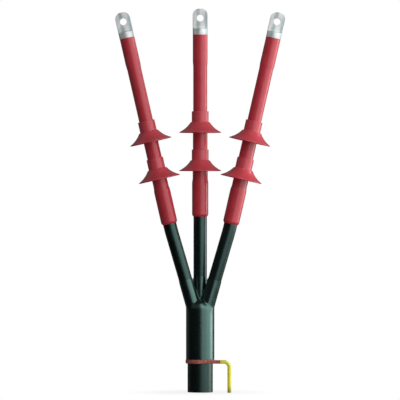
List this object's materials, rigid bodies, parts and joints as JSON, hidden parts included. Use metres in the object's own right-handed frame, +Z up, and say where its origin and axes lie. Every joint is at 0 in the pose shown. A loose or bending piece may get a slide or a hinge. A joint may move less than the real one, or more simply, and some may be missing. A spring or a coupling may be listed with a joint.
{
  "type": "cable termination",
  "caption": "Outdoor heat-shrink termination that fans a three-core medium-voltage cable into red tubes with rain sheds and bolted lugs, with a black breakout boot and an earth lead.",
  "frame": {"origin": "centre of the cable's cut end", "axes": "+Z up along the cable, the fan of cores across X, +Y to the back, away from the earth lead"},
  "size_m": [0.2716, 0.0813, 0.614],
  "materials": {
    "sheath_black": "satin",
    "filler_grey": "matte",
    "conductor_metal": "drawn",
    "insulation_ivory": "satin",
    "screen_copper": "tape",
    "sleeve_black": "satin",
    "boot_black": "satin",
    "stress_grey": "matte",
    "track_red": "satin",
    "lug_metal": "tinned",
    "mastic": "matte",
    "earth_copper": "bare strands",
    "lead_yellow": "satin"
  },
  "bodies": {
    "root": {"cable_sheath": "sheath_black", "cable_filler": "filler_grey", "breakout_boot": "boot_black", "boot_seal": "mastic", "crotch_mastic": "mastic", "earth_band": "earth_copper", "earth_lead": "lead_yellow", "conductor_left": "conductor_metal", "conductor_middle": "conductor_metal", "conductor_right": "conductor_metal", "insulation_left": "insulation_ivory", "insulation_middle": "insulation_ivory", "insulation_right": "insulation_ivory", "screen_left": "screen_copper", "screen_middle": "screen_copper", "screen_right": "screen_copper", "core_sleeve_left": "sleeve_black", "core_sleeve_middle": "sleeve_black", "core_sleeve_right": "sleeve_black", "stress_tube_left": "stress_grey", "stress_tube_middle": "stress_grey", "stress_tube_right": "stress_grey", "track_tube_left": "track_red", "track_tube_middle": "track_red", "track_tube_right": "track_red", "lower_shed_left": "track_red", "lower_shed_middle": "track_red", "lower_shed_right": "track_red", "upper_shed_left": "track_red", "upper_shed_middle": "track_red", "upper_shed_right": "track_red", "lug_left": "lug_metal", "lug_middle": "lug_metal", "lug_right": "lug_metal", "lug_seal_left": "mastic", "lug_seal_middle": "mastic", "lug_seal_right": "mastic"}
  },
  "joints": []
}
